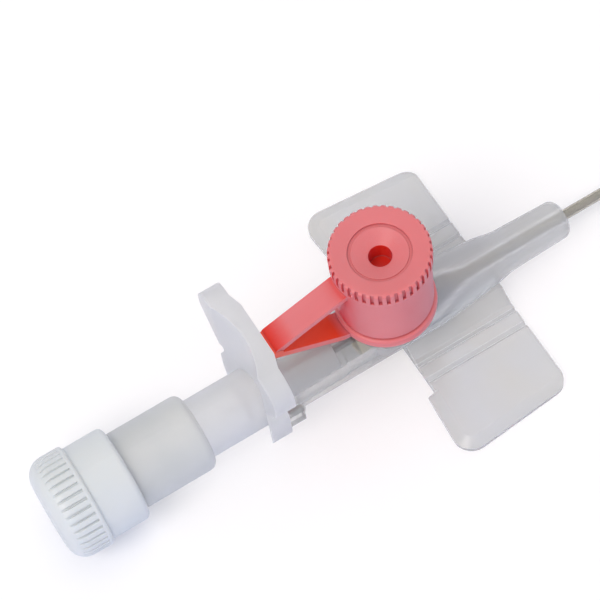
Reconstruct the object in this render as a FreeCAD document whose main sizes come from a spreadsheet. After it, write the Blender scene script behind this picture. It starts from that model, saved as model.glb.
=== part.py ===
import FreeCAD, Part
import math
import os
import Sketcher

# Intravenous cannula with wings and an injection port, 20 gauge, in millimetres.
# Axes: +X towards the needle tip, +Y across the wings, +Z up. The origin is the middle of the
# flat underside between the wings. Every sub-part is drawn about its own axis and placed.

SIZES = [
    ("axis_height", 3.5, "cannula axis above the underside of the wings"),
    ("mouth_to_port", 14.1, "Luer mouth of the catheter hub to the port axis"),
    ("port_to_nose", 20.95, "port axis to the end of the nose"),
    ("collar_radius", 3.95, "collar round the Luer mouth"),
    ("collar_length", 2.2, "collar along the axis"),
    ("lug_radius", 4.5, "reach of the two locking lugs"),
    ("lug_height", 2.6, "height of a locking lug"),
    ("lug_length", 1.75, "length of a locking lug"),
    ("tube_radius", 3.4, "barrel of the catheter hub"),
    ("barrel_front", 5.0, "port axis to where the barrel starts to narrow"),
    ("waist_front", 11.6, "port axis to the end of the first taper"),
    ("waist_radius", 2.65, "radius at the front edge of the wings"),
    ("nose_rear", 13.6, "port axis to the rear of the nose"),
    ("nose_radius", 2.25, "radius at the rear of the nose"),
    ("nose_tip_radius", 2.05, "radius at the front of the nose"),
    ("nose_round", 1.0, "rounding of the end of the nose"),
    ("luer_mouth_radius", 2.15, "radius of each conical socket at its mouth"),
    ("luer_taper", 0.03, "radius lost per millimetre of a conical socket"),
    ("luer_clearance", 0.05, "radial clearance of a seated cone"),
    ("socket_depth", 8.0, "depth of the socket of the catheter hub"),
    ("valve_bore_radius", 1.85, "bore that holds the valve sleeve"),
    ("valve_wall", 0.5, "wall of the valve sleeve"),
    ("valve_reach", 4.3, "half length of the valve sleeve"),
    ("moulded_fit", 0.01, "radial gap of a piece held in its seat"),
    ("seat_front", 9.0, "port axis to the front of the conical catheter seat"),
    ("seat_length", 4.4, "length of the conical catheter seat"),
    ("catheter_radius", 0.55, "outside of the catheter"),
    ("catheter_bore", 0.40, "inside of the catheter"),
    ("catheter_length", 33.0, "catheter beyond the nose"),
    ("catheter_tip_length", 2.6, "tapered tip of the catheter"),
    ("catheter_tip_radius", 0.45, "outside of the catheter at its tip"),
    ("flare_length", 2.4, "flared rear end of the catheter"),
    ("nose_bore_draft", 0.05, "widening of the nose bore from its mouth back to the seat"),
    ("catheter_lead", 0.3, "how far in front of the nose the catheter takes its outside size"),
    ("bush_wall", 0.12, "wall of the steel bush"),
    ("needle_radius", 0.37, "outside of the needle"),
    ("needle_bore", 0.23, "inside of the needle"),
    ("needle_reveal", 2.6, "needle beyond the tip of the catheter"),
    ("bevel_length", 2.2, "length of the ground point"),
    ("port_radius", 3.0, "outside of the port tube"),
    ("port_height", 11.3, "mouth of the port above the axis"),
    ("port_socket_depth", 7.0, "depth of the conical socket of the port"),
    ("port_passage_radius", 1.2, "passage from the port to the valve"),
    ("saddle_radius", 4.55, "boss under the collar of the port"),
    ("saddle_height", 3.78, "top of that boss above the axis"),
    ("saddle_cone", 2.4, "height of the cone below that boss"),
    ("wing_thickness", 1.0, "wing plate"),
    ("wing_front", 11.87, "port axis to the front edge of the wings"),
    ("neck_rear", 0.23, "port axis to the rear edge of the wing necks"),
    ("plate_rear", -0.64, "port axis to the rear edge of the outer wing plates, at the neck"),
    ("plate_rear_outer", -1.15, "the same at the outer corner"),
    ("neck_span", 8.4, "half width to the step between neck and outer plate"),
    ("span_front", 14.85, "half span at the front edge"),
    ("span_rear", 15.95, "half span at the rear edge"),
    ("wing_front_round", 1.6, "rounding of the front corners"),
    ("wing_rear_round", 2.0, "rounding of the rear corners"),
    ("wing_bevel", 1.2, "width of the bevel of the outer edges"),
    ("wing_bevel_drop", 0.5, "height of that bevel"),
    ("root_span", 4.4, "half width of the thick wing root"),
    ("root_height", 2.0, "height of the wing root at the barrel"),
    ("root_top_span", 2.7, "half width of the top of the wing root"),
    ("flex_groove_inner", 5.15, "half width to the inner flexing groove"),
    ("flex_groove_outer", 7.05, "half width to the outer flexing groove"),
    ("flex_inner_width", 0.75, "width of the inner flexing groove"),
    ("flex_outer_width", 1.1, "width of the outer flexing groove"),
    ("flex_groove_depth", 0.4, "depth of a flexing groove"),
    ("ring_radius", 5.19, "pink ring round the port"),
    ("ring_height", 1.2, "height of that ring"),
    ("ring_round", 0.35, "rounding of that ring"),
    ("ring_gap", 0.3, "gap between the ring and the closed cap"),
    ("cap_radius", 5.05, "knurled rim of the cap"),
    ("cap_height", 9.3, "height of the cap"),
    ("cap_rim_height", 1.9, "height of the knurled rim"),
    ("cap_skirt_radius", 4.86, "smooth skirt of the cap"),
    ("cap_skirt_wall", 0.85, "wall of the skirt"),
    ("cap_top_wall", 1.6, "top of the cap"),
    ("cap_top_round", 0.3, "rounding of the top edge"),
    ("cap_groove_radius", 3.15, "ring groove in the top"),
    ("cap_groove_width", 0.32, "width of that groove"),
    ("cap_groove_depth", 0.22, "depth of that groove"),
    ("cap_dish_radius", 4.6, "edge of the dished top"),
    ("cap_groove_drop", 0.3, "mouth of the ring groove below the rim"),
    ("cap_dish_depth", 1.1, "mouth of the blind hole below the rim"),
    ("cap_hole_radius", 1.17, "blind hole in the top"),
    ("cap_hole_depth", 3.2, "depth of that hole"),
    ("cap_plug_radius", 1.75, "closing plug inside the cap"),
    ("cap_plug_length", 2.55, "closing plug below the ceiling"),
    ("notch_count", 40, "notches round the rim"),
    ("notch_width", 0.3, "width of a notch at its floor"),
    ("notch_depth", 0.24, "depth of a notch"),
    ("notch_height", 1.45, "height of a notch"),
    ("strap_width", 2.8, "width of the strap at the ring"),
    ("upper_strap_width", 2.75, "width of the strap at the cap"),
    ("strap_thickness", 0.7, "thickness of the strap"),
    ("hinge_back", 12.7, "port axis to the hinge axis"),
    ("hinge_height", 8.75, "hinge axis above the cannula axis"),
    ("hinge_radius", 0.6, "bead at the fold of the strap"),
    ("hinge_clearance", 0.06, "gap round that bead"),
    ("knee_reach", 2.5, "fold to the bend of the upper leg"),
    ("knee_rise", 1.0, "rise of the upper leg up to that bend"),
    ("upper_leg_rise", 2.75, "rise of the upper leg from the hinge to the skirt"),
    ("luer_gap", 0.06, "Luer mouth to the front of the grip"),
    ("grip_thickness", 2.2, "grip plate"),
    ("grip_hollow", 1.1, "depth of the thumb hollow"),
    ("grip_hollow_half", 4.5, "half width of the thumb hollow"),
    ("grip_disc_radius", 4.9, "lower disc of the grip"),
    ("grip_neck_half", 3.9, "half width between disc and head"),
    ("grip_neck_height", 4.3, "height of that neck above the axis"),
    ("grip_head_half", 7.3, "half width of the head"),
    ("grip_head_bottom", 9.2, "underside of the head above the axis"),
    ("grip_top", 13.2, "top of the grip above the axis"),
    ("grip_round", 2.5, "rounding of the head"),
    ("grip_pad_half", 4.6, "half width of the thick middle of the grip at its foot"),
    ("grip_pad_slope", 1.5, "width of the slope at each side of the thick middle"),
    ("grip_pad_thickness", 0.46, "how far the thick middle stands forward"),
    ("grip_pad_bottom", 4.9, "underside of the thick middle above the axis"),
    ("cone_length", 7.3, "cone of the needle hub inside the catheter hub"),
    ("tail_radius", 3.18, "tail tube of the needle hub"),
    ("tail_length", 5.75, "tail tube between the grip and the chamber"),
    ("tail_bore", 2.3, "inside of the tail tube"),
    ("spigot_length", 2.5, "tail inside the chamber"),
    ("chamber_radius", 4.14, "outside of the flashback chamber"),
    ("chamber_length", 8.25, "chamber between its front and the plug"),
    ("chamber_round", 0.9, "rounding of the front of the chamber"),
    ("chamber_wall", 0.85, "wall of the chamber"),
    ("chamber_neck_radius", 3.3, "Luer neck of the chamber"),
    ("chamber_neck_length", 5.6, "Luer neck inside the plug"),
    ("chamber_lug_radius", 3.9, "collar at the mouth of that neck"),
    ("chamber_lug_length", 1.0, "collar at the mouth of that neck, along the axis"),
    ("chamber_overlap", 0.9, "chamber inside the skirt of the plug"),
    ("skirt_radius", 5.07, "smooth skirt of the plug"),
    ("skirt_length", 4.35, "length of that skirt"),
    ("skirt_round", 0.6, "rounding of its mouth"),
    ("skirt_bore", 4.35, "inside of that skirt"),
    ("plug_length", 8.6, "whole length of the plug"),
    ("plug_grip_radius", 5.45, "ribbed grip of the plug"),
    ("plug_end_round", 2.0, "rounding of the end of the plug"),
    ("plug_cone_length", 6.0, "cone of the plug inside the chamber"),
    ("rib_count", 40, "ribs round the plug"),
    ("rib_groove_width", 0.4, "groove between two ribs"),
    ("rib_groove_depth", 0.3, "depth of that groove"),
    ("rib_margin", 0.5, "plain ring in front of the ribs"),
    ("vent_radius", 0.3, "vent hole of the plug"),
    ("filter_radius", 1.0, "filter disc of the vent"),
    ("filter_thickness", 1.2, "thickness of the filter disc"),
]

SHEET = "Sizes"
PLANES = {"XY": "XY_Plane", "XZ": "XZ_Plane", "YZ": "YZ_Plane"}
ORIGIN_POINT = (-1, 1)


class Term:
    """A length with the sheet expression that gives it, so that sketches start solved."""

    def __init__(self, value, text=None):
        self.value = float(value)
        self.text = text if text is not None else repr(float(value))

    def _join(self, other, sign, value):
        return Term(value, "({} {} {})".format(self.text, sign, other.text))

    def __add__(self, other):
        other = term(other)
        return self._join(other, "+", self.value + other.value)

    def __sub__(self, other):
        other = term(other)
        return self._join(other, "-", self.value - other.value)

    def __mul__(self, other):
        other = term(other)
        return self._join(other, "*", self.value * other.value)

    def __truediv__(self, other):
        other = term(other)
        return self._join(other, "/", self.value / other.value)

    def __radd__(self, other):
        return term(other) + self

    def __rsub__(self, other):
        return term(other) - self

    def __rmul__(self, other):
        return term(other) * self

    def __rtruediv__(self, other):
        return term(other) / self

    def __neg__(self):
        return Term(-self.value, "(-1 * {})".format(self.text))

    def root(self):
        return Term(math.sqrt(self.value), "sqrt({})".format(self.text))


def term(value):
    return value if isinstance(value, Term) else Term(value)


ZERO = Term(0.0)
doc = FreeCAD.newDocument("iv_cannula")
sheet = doc.addObject("Spreadsheet::Sheet", SHEET)
size = {}
for row, (alias, value, note) in enumerate(SIZES, start=1):
    sheet.set("A{}".format(row), note)
    sheet.set("B{}".format(row), str(value))
    sheet.setAlias("B{}".format(row), alias)
    size[alias] = Term(value, "{}.{}".format(SHEET, alias))
doc.recompute()


# Drawing helpers

def new_body(label, x=ZERO, z=None):
    """A body named after its sub-part and placed along the cannula."""
    body = doc.addObject("PartDesign::Body", label)
    body.Label = label
    height = size["axis_height"] if z is None else z
    body.setExpression("Placement.Base.x", (port_x + x).text)
    body.setExpression("Placement.Base.z", height.text)
    return body


def origin_plane(body, plane):
    role = PLANES[plane]
    return [f for f in body.Origin.OriginFeatures if f.Role == role][0]


def new_sketch(body, name, plane, offset=None):
    """A sketch on an origin plane of its body, moved along the normal of the plane."""
    sketch = body.newObject("Sketcher::SketchObject", name)
    sketch.AttachmentSupport = [(origin_plane(body, plane), "")]
    sketch.MapMode = "FlatFace"
    if offset is not None:
        sketch.AttachmentOffset = FreeCAD.Placement(
            FreeCAD.Vector(0, 0, offset.value), FreeCAD.Rotation())
        sketch.setExpression("AttachmentOffset.Base.z", offset.text)
    return sketch


def bind(sketch, kind, where, length):
    """Adds one driving dimension and ties it to the sheet."""
    index = sketch.addConstraint(Sketcher.Constraint(kind, *where, length.value))
    sketch.setExpression("Constraints[{}]".format(index), length.text)


def pin(sketch, point, x, y):
    """Fixes a point of the sketch at (x, y); a zero puts it on an axis of the sketch."""
    for length, kind, axis in ((x, "DistanceX", -2), (y, "DistanceY", -1)):
        if length is ZERO:
            sketch.addConstraint(Sketcher.Constraint("PointOnObject", *point, axis))
        else:
            bind(sketch, kind, ORIGIN_POINT + point, length)


def outline(sketch, corners):
    """Draws a closed outline; a corner (x, y, radius) is rounded."""
    count = len(corners)
    at = [FreeCAD.Vector(c[0].value, c[1].value, 0) for c in corners]
    starts = [None] * count
    ends = [None] * count
    arcs = [None] * count
    for i, corner in enumerate(corners):
        ends[i] = starts[i] = at[i]
        if len(corner) == 3:
            back = (at[i - 1] - at[i]).normalize()
            on = (at[(i + 1) % count] - at[i]).normalize()
            half = back.getAngle(on) / 2
            reach = corner[2].value / math.tan(half)
            middle = at[i] + (back + on).normalize() * (corner[2].value / math.sin(half))
            ends[i] = at[i] + back * reach
            starts[i] = at[i] + on * reach
            crown = middle + (at[i] - middle).normalize() * corner[2].value
            arcs[i] = Part.Arc(ends[i], crown, starts[i])
    lines = []
    for i in range(count):
        segment = Part.LineSegment(starts[i], ends[(i + 1) % count])
        lines.append(sketch.addGeometry(segment, False))
    for i, corner in enumerate(corners):
        before = lines[i - 1]
        after = lines[i]
        if arcs[i] is None:
            sketch.addConstraint(Sketcher.Constraint("Coincident", before, 2, after, 1))
            pin(sketch, (after, 1), corner[0], corner[1])
            continue
        arc = sketch.addGeometry(arcs[i], False)
        first = 1 if (sketch.getPoint(arc, 1) - ends[i]).Length < 1e-6 else 2
        sketch.addConstraint(Sketcher.Constraint("Tangent", before, 2, arc, first))
        sketch.addConstraint(Sketcher.Constraint("Tangent", arc, 3 - first, after, 1))
        bind(sketch, "Radius", (arc,), corner[2])
        vertex = sketch.addGeometry(Part.Point(at[i]), True)
        sketch.addConstraint(Sketcher.Constraint("PointOnObject", vertex, 1, before))
        sketch.addConstraint(Sketcher.Constraint("PointOnObject", vertex, 1, after))
        pin(sketch, (vertex, 1), corner[0], corner[1])


def ring(sketch, radius):
    """Draws a circle about the origin of the sketch."""
    circle = sketch.addGeometry(
        Part.Circle(FreeCAD.Vector(0, 0, 0), FreeCAD.Vector(0, 0, 1), radius.value), False)
    sketch.addConstraint(Sketcher.Constraint("Coincident", circle, 3, *ORIGIN_POINT))
    bind(sketch, "Radius", (circle,), radius)


def turned(body, name, corners, axis="H_Axis", cut=False):
    """A solid, or a cut, turned from a half section in the XZ plane."""
    sketch = new_sketch(body, name + "_section", "XZ")
    outline(sketch, corners)
    kind = "PartDesign::Groove" if cut else "PartDesign::Revolution"
    feature = body.newObject(kind, name)
    feature.Profile = sketch
    feature.ReferenceAxis = (sketch, [axis])
    feature.Angle = 360
    doc.recompute()
    return feature


def pushed(body, name, sketch, length, cut=False, both=False, back=False):
    """A pad or a pocket of a sketch, on one side or on both sides of its plane."""
    feature = body.newObject("PartDesign::Pocket" if cut else "PartDesign::Pad", name)
    feature.Profile = sketch
    feature.setExpression("Length", length.text)
    feature.SideType = "Symmetric" if both else "One side"
    feature.Reversed = back
    doc.recompute()
    return feature


def circular_pattern(body, name, feature, sketch, axis, count):
    """Repeats a feature round an axis of its sketch."""
    pattern = body.newObject("PartDesign::PolarPattern", name)
    pattern.Originals = [feature]
    pattern.Axis = (sketch, [axis])
    pattern.Angle = 360
    pattern.setExpression("Occurrences", count.text)
    body.Tip = pattern
    doc.recompute()
    return pattern


def mirrored_outline(corners):
    """Completes an outline by its mirror image across the first axis of the sketch."""
    other = [(c[0], -c[1]) + tuple(c[2:]) for c in reversed(corners)]
    return list(corners) + other


# Places shared by several sub-parts, along X from the port axis

port_x = -(size["wing_front"] + size["neck_rear"]) / 2
mouth_x = -size["mouth_to_port"]
nose_x = size["port_to_nose"]
seat_rear = size["seat_front"] - size["seat_length"]
nose_bore = size["catheter_radius"] + size["moulded_fit"]
seat_bore = nose_bore + size["nose_bore_draft"]
seat_slope = (size["valve_bore_radius"] - seat_bore) / size["seat_length"]
catheter_tip = nose_x + size["catheter_length"]
needle_tip = catheter_tip + size["needle_reveal"]
grip_front = mouth_x - size["luer_gap"]
grip_rear = grip_front - size["grip_thickness"]
chamber_front = grip_rear - size["tail_length"]
plug_mouth = chamber_front - size["chamber_length"]


def seat_radius(x):
    """Radius of the conical catheter seat at a place along X."""
    return seat_bore + seat_slope * (size["seat_front"] - x)


def luer_radius(depth):
    """Radius of a conical socket at a depth below its mouth."""
    return size["luer_mouth_radius"] - size["luer_taper"] * depth


# Catheter hub: barrel, nose, wings and port in one moulding

hub = new_body("catheter_hub")
hub.AllowCompound = True
wing_bottom = -size["axis_height"]
wing_top = wing_bottom + size["wing_thickness"]
plate_sketch = new_sketch(hub, "outer_plate_outline", "XY", wing_bottom)
for side in (1, -1):
    outline(plate_sketch, [
        (size["wing_front"], size["neck_span"] * side),
        (size["plate_rear"], size["neck_span"] * side),
        (size["plate_rear_outer"], size["span_rear"] * side, size["wing_rear_round"]),
        (size["wing_front"], size["span_front"] * side),
    ])
plates = pushed(hub, "outer_plates", plate_sketch, size["wing_thickness"])


def edge_names(shape, keep):
    """Names of the edges whose bounding box satisfies a condition."""
    return ["Edge{}".format(i + 1) for i, e in enumerate(shape.Edges) if keep(e.BoundBox)]


def is_rim(box):
    """Top edges along the rear and the outer side of the plates."""
    level = abs(box.ZMin - wing_top.value) < 1e-3 and abs(box.ZMax - wing_top.value) < 1e-3
    outside = max(abs(box.YMin), abs(box.YMax)) > size["neck_span"].value + 0.1
    return level and outside and box.XMin < size["wing_front"].value - 0.1


def is_front_corner(box):
    """Upright edges at the front corners of the wings."""
    upright = box.ZLength > size["wing_thickness"].value / 4 and box.XLength < 1e-3
    return (upright and box.YLength < 1e-3 and box.XMin > size["wing_front"].value - 1e-3
            and max(abs(box.YMin), abs(box.YMax)) > size["neck_span"].value + 0.1)


bevel = hub.newObject("PartDesign::Chamfer", "wing_bevel")
bevel.Base = (plates, edge_names(plates.Shape, is_rim))
bevel.ChamferType = "Two distances"
bevel.setExpression("Size", size["wing_bevel_drop"].text)
bevel.setExpression("Size2", size["wing_bevel"].text)
doc.recompute()


neck_sketch = new_sketch(hub, "neck_plate_outline", "XY", wing_bottom)
outline(neck_sketch, mirrored_outline([
    (size["neck_rear"], size["neck_span"]),
    (size["wing_front"], size["neck_span"]),
]))
neck = pushed(hub, "neck_plate", neck_sketch, size["wing_thickness"])
corners = hub.newObject("PartDesign::Fillet", "front_corners")
corners.Base = (neck, edge_names(neck.Shape, is_front_corner))
corners.setExpression("Radius", size["wing_front_round"].text)
doc.recompute()

barrel = turned(hub, "barrel", [
    (mouth_x, ZERO),
    (mouth_x, size["collar_radius"], Term(0.3)),
    (mouth_x + size["collar_length"], size["collar_radius"], Term(0.3)),
    (mouth_x + size["collar_length"], size["tube_radius"]),
    (size["barrel_front"], size["tube_radius"], Term(8.0)),
    (size["waist_front"], size["waist_radius"], Term(3.0)),
    (size["nose_rear"], size["nose_radius"], Term(6.0)),
    (nose_x, size["nose_tip_radius"], size["nose_round"]),
    (nose_x, ZERO),
])

lug_sketch = new_sketch(hub, "lug_outline", "YZ", mouth_x)
half_lug = size["lug_height"] / 2
outline(lug_sketch, [
    (size["lug_radius"], half_lug, Term(0.4)),
    (-size["lug_radius"], half_lug, Term(0.4)),
    (-size["lug_radius"], -half_lug, Term(0.4)),
    (size["lug_radius"], -half_lug, Term(0.4)),
])
lugs = pushed(hub, "lugs", lug_sketch, size["lug_length"])

root_sketch = new_sketch(hub, "root_section", "YZ", size["neck_rear"])
root_top = wing_bottom + size["root_height"]
outline(root_sketch, [
    (size["root_span"], wing_bottom),
    (size["root_span"], wing_bottom + size["wing_thickness"]),
    (size["root_top_span"], root_top),
    (-size["root_top_span"], root_top),
    (-size["root_span"], wing_bottom + size["wing_thickness"]),
    (-size["root_span"], wing_bottom),
])
wing_root = pushed(hub, "wing_root", root_sketch, size["wing_front"] - size["neck_rear"])

port = turned(hub, "port", [
    (ZERO, ZERO),
    (size["port_radius"], ZERO),
    (size["saddle_radius"], size["saddle_cone"]),
    (size["saddle_radius"], size["saddle_height"]),
    (size["port_radius"], size["saddle_height"]),
    (size["port_radius"], size["port_height"], Term(0.25)),
    (ZERO, size["port_height"]),
], axis="V_Axis")

groove_z = wing_top - size["flex_groove_depth"]
for name in ("inner", "outer"):
    centre = size["flex_groove_" + name]
    groove_sketch = new_sketch(hub, name + "_groove_section", "YZ", size["neck_rear"])
    groove_half = size["flex_{}_width".format(name)] / 2
    open_z = wing_top + 0.2
    for side in (1, -1):
        y = centre * side
        outline(groove_sketch, [
            (y - groove_half, open_z),
            (y, groove_z),
            (y + groove_half, open_z),
        ])
    pushed(hub, name + "_groove", groove_sketch,
           size["wing_front"] - size["neck_rear"], cut=True, back=True)

turned(hub, "bore", [
    (mouth_x, ZERO),
    (mouth_x, size["luer_mouth_radius"]),
    (mouth_x + size["socket_depth"], luer_radius(size["socket_depth"])),
    (mouth_x + size["socket_depth"], size["valve_bore_radius"]),
    (seat_rear, size["valve_bore_radius"]),
    (size["seat_front"], seat_bore),
    (nose_x, nose_bore),
    (nose_x, ZERO),
], cut=True)

port_floor = size["port_height"] - size["port_socket_depth"]
turned(hub, "port_bore", [
    (ZERO, ZERO),
    (size["port_passage_radius"], ZERO),
    (size["port_passage_radius"], port_floor),
    (luer_radius(size["port_socket_depth"]), port_floor),
    (size["luer_mouth_radius"], size["port_height"]),
    (ZERO, size["port_height"]),
], axis="V_Axis", cut=True)

# Catheter: a plastic tube flared over the bush at the rear and drawn to a fine tip

catheter = new_body("catheter")
flare_rear = size["seat_front"] - size["flare_length"]
catheter_wall = size["catheter_radius"] - size["catheter_bore"]
turned(catheter, "tube", [
    (flare_rear, seat_radius(flare_rear) - size["moulded_fit"]),
    (size["seat_front"], size["catheter_radius"] + size["nose_bore_draft"]),
    (nose_x + size["catheter_lead"], size["catheter_radius"]),
    (catheter_tip - size["catheter_tip_length"], size["catheter_radius"]),
    (catheter_tip, size["catheter_tip_radius"]),
    (catheter_tip, size["catheter_bore"]),
    (nose_x + size["catheter_lead"], size["catheter_bore"]),
    (size["seat_front"], size["catheter_bore"] + size["nose_bore_draft"]),
    (flare_rear, seat_radius(flare_rear) - size["moulded_fit"] - catheter_wall),
])

# Steel bush that wedges the flared catheter into its seat and guides the needle

bush = new_body("catheter_bush")
bush_rear = seat_rear + size["bush_wall"]
bush_front = size["seat_front"] - size["bush_wall"] * 4
bush_step = flare_rear - size["bush_wall"]


def flare_bore(x):
    """Inside radius of the flared end of the catheter, less the fit of the bush."""
    return seat_radius(x) - catheter_wall - size["moulded_fit"] * 2


turned(bush, "funnel", [
    (bush_rear, seat_radius(bush_rear) - size["moulded_fit"]),
    (bush_step, seat_radius(bush_step) - size["moulded_fit"]),
    (bush_step, flare_bore(bush_step)),
    (bush_front, flare_bore(bush_front)),
    (bush_front, flare_bore(bush_front) - size["bush_wall"]),
    (bush_rear, seat_radius(bush_rear) - size["bush_wall"] * 3),
])

# Silicone sleeve that closes the port from inside until fluid is pushed in

valve = new_body("port_valve")
valve_outer = size["valve_bore_radius"] - size["moulded_fit"]
turned(valve, "sleeve", [
    (-size["valve_reach"], valve_outer),
    (size["valve_reach"], valve_outer),
    (size["valve_reach"], valve_outer - size["valve_wall"]),
    (-size["valve_reach"], valve_outer - size["valve_wall"]),
])

# Pink ring on the port with the lower leg of the strap and the bead of the fold

collar = new_body("port_collar")
ring_bottom = size["saddle_height"]
ring_top = ring_bottom + size["ring_height"]
ring_inner = size["port_radius"] + size["moulded_fit"]
turned(collar, "ring", [
    (ring_inner, ring_bottom),
    (size["ring_radius"], ring_bottom, size["ring_round"]),
    (size["ring_radius"] - 0.1, ring_top, size["ring_round"]),
    (ring_inner, ring_top),
], axis="V_Axis")

hinge_x = -size["hinge_back"]
hinge_z = size["hinge_height"]
leg_start = -(size["port_radius"] + size["ring_radius"]) / 2
leg_sketch = new_sketch(collar, "lower_leg_section", "XZ")
outline(leg_sketch, [
    (leg_start, ring_bottom),
    (leg_start, ring_bottom + size["strap_thickness"]),
    (-size["ring_radius"] + 0.1, ring_bottom + size["strap_thickness"], Term(2.0)),
    (hinge_x + size["hinge_radius"] * 0.6, hinge_z),
    (hinge_x - size["hinge_radius"] * 0.1, hinge_z - size["hinge_radius"] * 0.99),
    (-size["ring_radius"] - 0.3, ring_bottom, Term(2.0)),
])
pushed(collar, "lower_leg", leg_sketch, size["strap_width"], both=True)
bead_sketch = new_sketch(collar, "bead_section", "XZ")
bead = bead_sketch.addGeometry(
    Part.Circle(FreeCAD.Vector(hinge_x.value, hinge_z.value, 0), FreeCAD.Vector(0, 0, 1),
                size["hinge_radius"].value), False)
pin(bead_sketch, (bead, 3), hinge_x, hinge_z)
bind(bead_sketch, "Radius", (bead,), size["hinge_radius"])
pushed(collar, "fold_bead", bead_sketch, size["strap_width"], both=True)

# Pink cap: knurled rim, skirt over the port, short closing plug and upper leg of the strap

cap = new_body("port_cap")
cap_bottom = ring_top + size["ring_gap"]
cap_top = cap_bottom + size["cap_height"]
rim_bottom = cap_top - size["cap_rim_height"]
ceiling = cap_top - size["cap_top_wall"]
skirt_inner = size["cap_skirt_radius"] - size["cap_skirt_wall"]
turned(cap, "shell", [
    (ZERO, cap_top),
    (size["cap_radius"], cap_top, size["cap_top_round"]),
    (size["cap_radius"], rim_bottom, Term(0.15)),
    (size["cap_skirt_radius"], rim_bottom),
    (size["cap_skirt_radius"], cap_bottom, Term(0.15)),
    (skirt_inner, cap_bottom),
    (skirt_inner, ceiling),
    (size["cap_plug_radius"], ceiling),
    (size["cap_plug_radius"], ceiling - size["cap_plug_length"], Term(0.2)),
    (ZERO, ceiling - size["cap_plug_length"]),
], axis="V_Axis")

upper_sketch = new_sketch(cap, "upper_leg_section", "XZ")
bore_of_bead = size["hinge_radius"] + size["hinge_clearance"]
leg_end = -(skirt_inner + size["cap_skirt_radius"]) / 2
leg_top = hinge_z + size["upper_leg_rise"] + size["strap_thickness"]
outline(upper_sketch, [
    (leg_end, leg_top - size["strap_thickness"]),
    (-size["cap_skirt_radius"], leg_top - size["strap_thickness"], Term(3.0)),
    (hinge_x + size["knee_reach"], hinge_z + size["knee_rise"], Term(4.0)),
    (hinge_x, hinge_z),
    (hinge_x - bore_of_bead * 0.6, hinge_z + size["strap_thickness"] + 0.05, Term(0.4)),
    (hinge_x + size["knee_reach"], hinge_z + size["knee_rise"] + size["strap_thickness"], Term(4.0)),
    (-size["cap_skirt_radius"], leg_top, Term(3.0)),
    (leg_end, leg_top),
])
pushed(cap, "upper_leg", upper_sketch, size["upper_strap_width"], both=True)
bead_bore = new_sketch(cap, "bead_bore_section", "XZ")
bore_circle = bead_bore.addGeometry(
    Part.Circle(FreeCAD.Vector(hinge_x.value, hinge_z.value, 0), FreeCAD.Vector(0, 0, 1),
                bore_of_bead.value), False)
pin(bead_bore, (bore_circle, 3), hinge_x, hinge_z)
bind(bead_bore, "Radius", (bore_circle,), bore_of_bead)
pushed(cap, "bead_bore", bead_bore, size["strap_width"] * 2, cut=True, both=True)

groove_inner = size["cap_groove_radius"] - size["cap_groove_width"]
groove_mouth = cap_top - size["cap_groove_drop"]
turned(cap, "top_dish", [
    (ZERO, cap_top - size["cap_hole_depth"]),
    (size["cap_hole_radius"], cap_top - size["cap_hole_depth"]),
    (size["cap_hole_radius"], cap_top - size["cap_dish_depth"]),
    (size["cap_groove_radius"], groove_mouth),
    (size["cap_dish_radius"], cap_top),
    (ZERO, cap_top),
], axis="V_Axis", cut=True)
turned(cap, "top_groove", [
    (groove_inner, groove_mouth - size["cap_groove_depth"]),
    (size["cap_groove_radius"], groove_mouth - size["cap_groove_depth"]),
    (size["cap_groove_radius"], cap_top),
    (groove_inner, cap_top),
], axis="V_Axis", cut=True)

notch_sketch = new_sketch(cap, "notch_outline", "XY", cap_top)
notch_sketch.AttachmentOffset = FreeCAD.Placement(
    notch_sketch.AttachmentOffset.Base,
    FreeCAD.Rotation(FreeCAD.Vector(0, 0, 1), 180 / size["notch_count"].value))
notch_sketch.setExpression("AttachmentOffset.Rotation.Angle", (180 / size["notch_count"]).text)
notch_half = size["notch_width"] / 2
outline(notch_sketch, [
    (size["cap_radius"] - size["notch_depth"], -notch_half),
    (size["cap_radius"] - size["notch_depth"], notch_half),
    (size["cap_radius"] + 0.2, notch_half * 1.4),
    (size["cap_radius"] + 0.2, -notch_half * 1.4),
])
notch = pushed(cap, "notch", notch_sketch, size["notch_height"], cut=True)
circular_pattern(cap, "notches", notch, notch_sketch, "N_Axis", size["notch_count"])

# Needle: a steel tube with a ground point that opens upwards

needle = new_body("needle")
needle_rear = grip_rear - size["tail_length"] / 2
tube_sketch = new_sketch(needle, "tube_section", "YZ", needle_rear)
ring(tube_sketch, size["needle_radius"])
ring(tube_sketch, size["needle_bore"])
pushed(needle, "tube", tube_sketch, needle_tip - needle_rear)
bevel_sketch = new_sketch(needle, "bevel_section", "XZ")
outline(bevel_sketch, [
    (needle_tip - size["bevel_length"], size["needle_radius"]),
    (needle_tip, -size["needle_radius"]),
    (needle_tip + 1.0, -size["needle_radius"]),
    (needle_tip + 1.0, size["needle_radius"] * 2),
    (needle_tip - size["bevel_length"], size["needle_radius"] * 2),
])
pushed(needle, "bevel", bevel_sketch, size["needle_radius"] * 4, cut=True, both=True)

# Needle hub: cone in the Luer socket, upright finger grip and tail tube

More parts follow.
